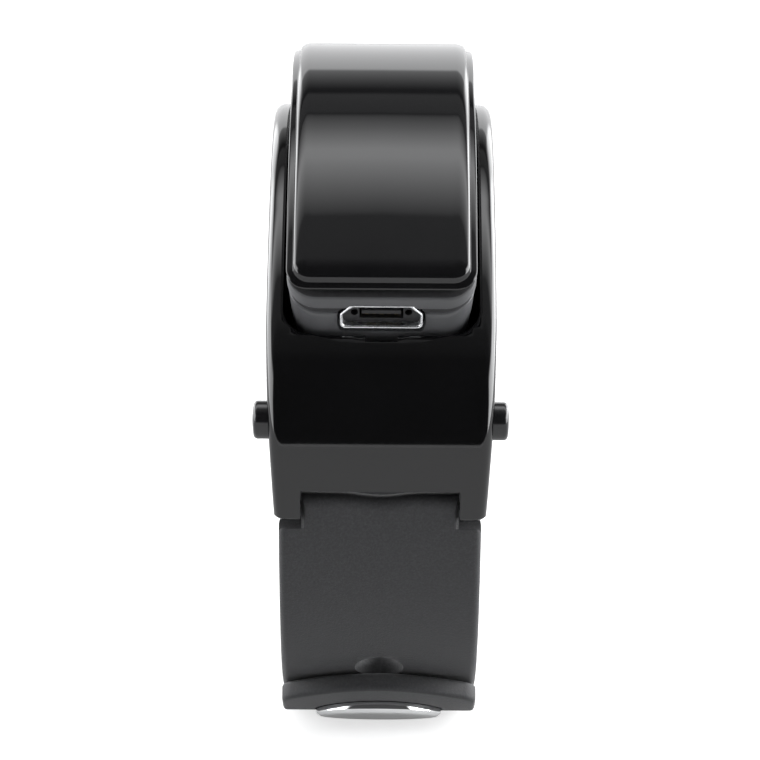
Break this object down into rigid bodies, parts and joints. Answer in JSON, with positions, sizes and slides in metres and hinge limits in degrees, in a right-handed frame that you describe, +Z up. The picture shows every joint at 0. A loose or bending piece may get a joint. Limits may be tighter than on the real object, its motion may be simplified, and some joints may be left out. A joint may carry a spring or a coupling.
{
  "type": "wrist activity tracker band",
  "caption": "Curved glossy tracker module seated in a side-railed cradle with two release buttons, on a two-part soft strap closed by a chrome oval clasp.",
  "frame": {"origin": "centre of the bounding box's bottom, where the closed strap loop stands", "axes": "+Z up towards the module's top; +Y from the charging-port end towards the far end; +X across the band"},
  "size_m": [0.023, 0.066, 0.0635],
  "materials": {
    "gloss_black": "high gloss moulded plastic",
    "cover_black": "piano-black top window",
    "matte_shell": "fine-grained matt plastic",
    "liner_plastic": "satin plastic",
    "soft_touch": "soft-touch rubber with a fine speckle",
    "chrome": "polished",
    "steel": "plain steel",
    "contact_gold": "plated",
    "board": "solder mask",
    "chip": "moulded",
    "battery_foil": "foil pouch",
    "display": "dark glass panel",
    "flex": "flexible circuit"
  },
  "bodies": {
    "cradle": {"cradle_shell": "gloss_black", "cradle_liner": "liner_plastic", "eject_spring": "steel", "liner_screw_front_left": "steel", "liner_screw_front_right": "steel", "liner_screw_rear_left": "steel", "liner_screw_rear_right": "steel", "front_spring_bar": "steel", "front_bar_pin_left": "steel", "front_bar_pin_right": "steel", "rear_spring_bar": "steel", "rear_bar_pin_left": "steel", "rear_bar_pin_right": "steel"},
    "module": {"top_cover": "cover_black", "upper_shell": "matte_shell", "lower_shell": "matte_shell", "display_panel": "display", "display_flex": "flex", "main_board": "board", "processor_chip": "chip", "motion_sensor_chip": "chip", "battery": "battery_foil", "vibration_motor": "steel", "usb_shell": "steel", "usb_tongue": "chip", "usb_contacts": "contact_gold", "module_screw_front_left": "steel", "module_screw_front_right": "steel", "module_screw_rear_left": "steel", "module_screw_rear_right": "steel"},
    "button_left": {"release_button_left": "gloss_black", "latch_slider_left": "matte_shell", "latch_spring_left": "steel"},
    "button_right": {"release_button_right": "gloss_black", "latch_slider_right": "matte_shell", "latch_spring_right": "steel"},
    "front_strap": {"front_strap": "soft_touch"},
    "rear_strap": {"rear_strap": "soft_touch"},
    "clasp_end": {"rear_strap_end": "soft_touch", "clasp_cap": "chrome", "clasp_peg": "steel"}
  },
  "joints": [
    {"name": "module_lift", "type": "slide", "parent": "cradle", "child": "module", "axis": [0, 0, 1], "range_m": [0, 0.014]},
    {"name": "button_left_press", "type": "slide", "parent": "cradle", "child": "button_left", "axis": [1, 0, 0], "range_m": [0, 0.0008], "stiffness_N_per_m": 300, "springref_m": -0.0005, "deforming": ["latch_spring_left"]},
    {"name": "button_right_press", "type": "slide", "parent": "cradle", "child": "button_right", "axis": [-1, 0, 0], "range_m": [0, 0.0008], "stiffness_N_per_m": 300, "springref_m": -0.0005, "deforming": ["latch_spring_right"]},
    {"name": "clasp_open", "type": "hinge", "parent": "rear_strap", "child": "clasp_end", "pos_m": [0, 0.00358, 0.00019], "axis": [1, 0, 0], "range_deg": [0, 50]},
    {"name": "front_strap_swing", "type": "hinge", "parent": "cradle", "child": "front_strap", "pos_m": [0, -0.0311, 0.0298], "axis": [1, 0, 0], "range_deg": [0, 10]},
    {"name": "rear_strap_swing", "type": "hinge", "parent": "cradle", "child": "rear_strap", "pos_m": [0, 0.0311, 0.0298], "axis": [1, 0, 0], "range_deg": [0, 2.5]}
  ],
  "couplings": [
    {"joint": "front_strap_swing", "follows": "clasp_open", "ratio": 0.2},
    {"joint": "rear_strap_swing", "follows": "clasp_open", "ratio": 0.05}
  ]
}
